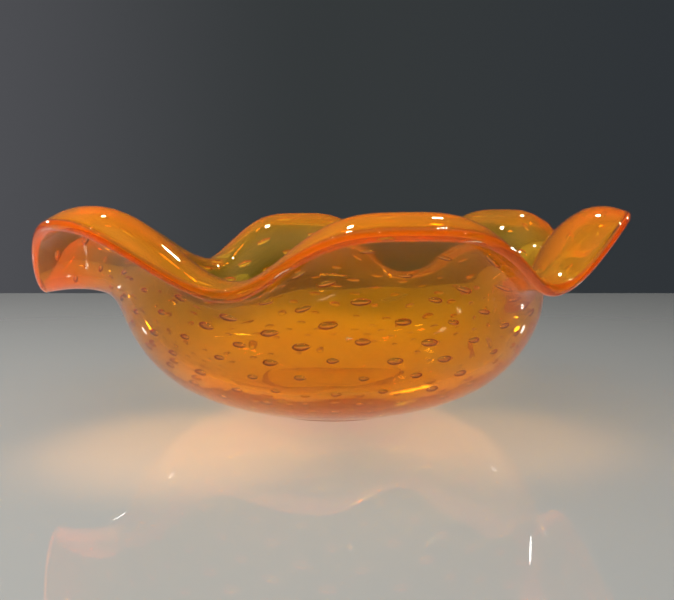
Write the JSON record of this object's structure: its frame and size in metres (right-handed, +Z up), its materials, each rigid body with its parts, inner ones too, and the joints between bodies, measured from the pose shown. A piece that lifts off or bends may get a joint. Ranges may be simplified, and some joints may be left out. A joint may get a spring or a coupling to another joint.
{
  "type": "art glass bowl",
  "caption": "Orange art glass bowl with a ruffled, outward-flaring rim and a ground foot, cased in clear glass over level rings of trapped air bubbles.",
  "frame": {"origin": "centre of the ground foot, on the surface the bowl stands on", "axes": "+Z up along the axis of the body; -Y is the front, where one full lobe of the ruffle faces almost straight forward; +X to the right of the front"},
  "size_m": [0.2211, 0.2304, 0.0786],
  "materials": {
    "clear_glass": "fire-polished, clear with a faint warm tint",
    "orange_glass": "fire-polished, transparent orange",
    "trapped_air": "smooth-walled air pockets inside the glass"
  },
  "bodies": {
    "root": {"clear_casing": "clear_glass", "orange_gather": "orange_glass", "air_ring_01": "trapped_air", "air_ring_02": "trapped_air", "air_ring_03": "trapped_air", "air_ring_04": "trapped_air", "air_ring_05": "trapped_air", "air_ring_06": "trapped_air", "air_ring_07": "trapped_air", "air_ring_08": "trapped_air", "air_ring_09": "trapped_air", "air_ring_10": "trapped_air", "air_ring_11": "trapped_air", "air_ring_12": "trapped_air", "air_ring_13": "trapped_air"}
  },
  "joints": []
}
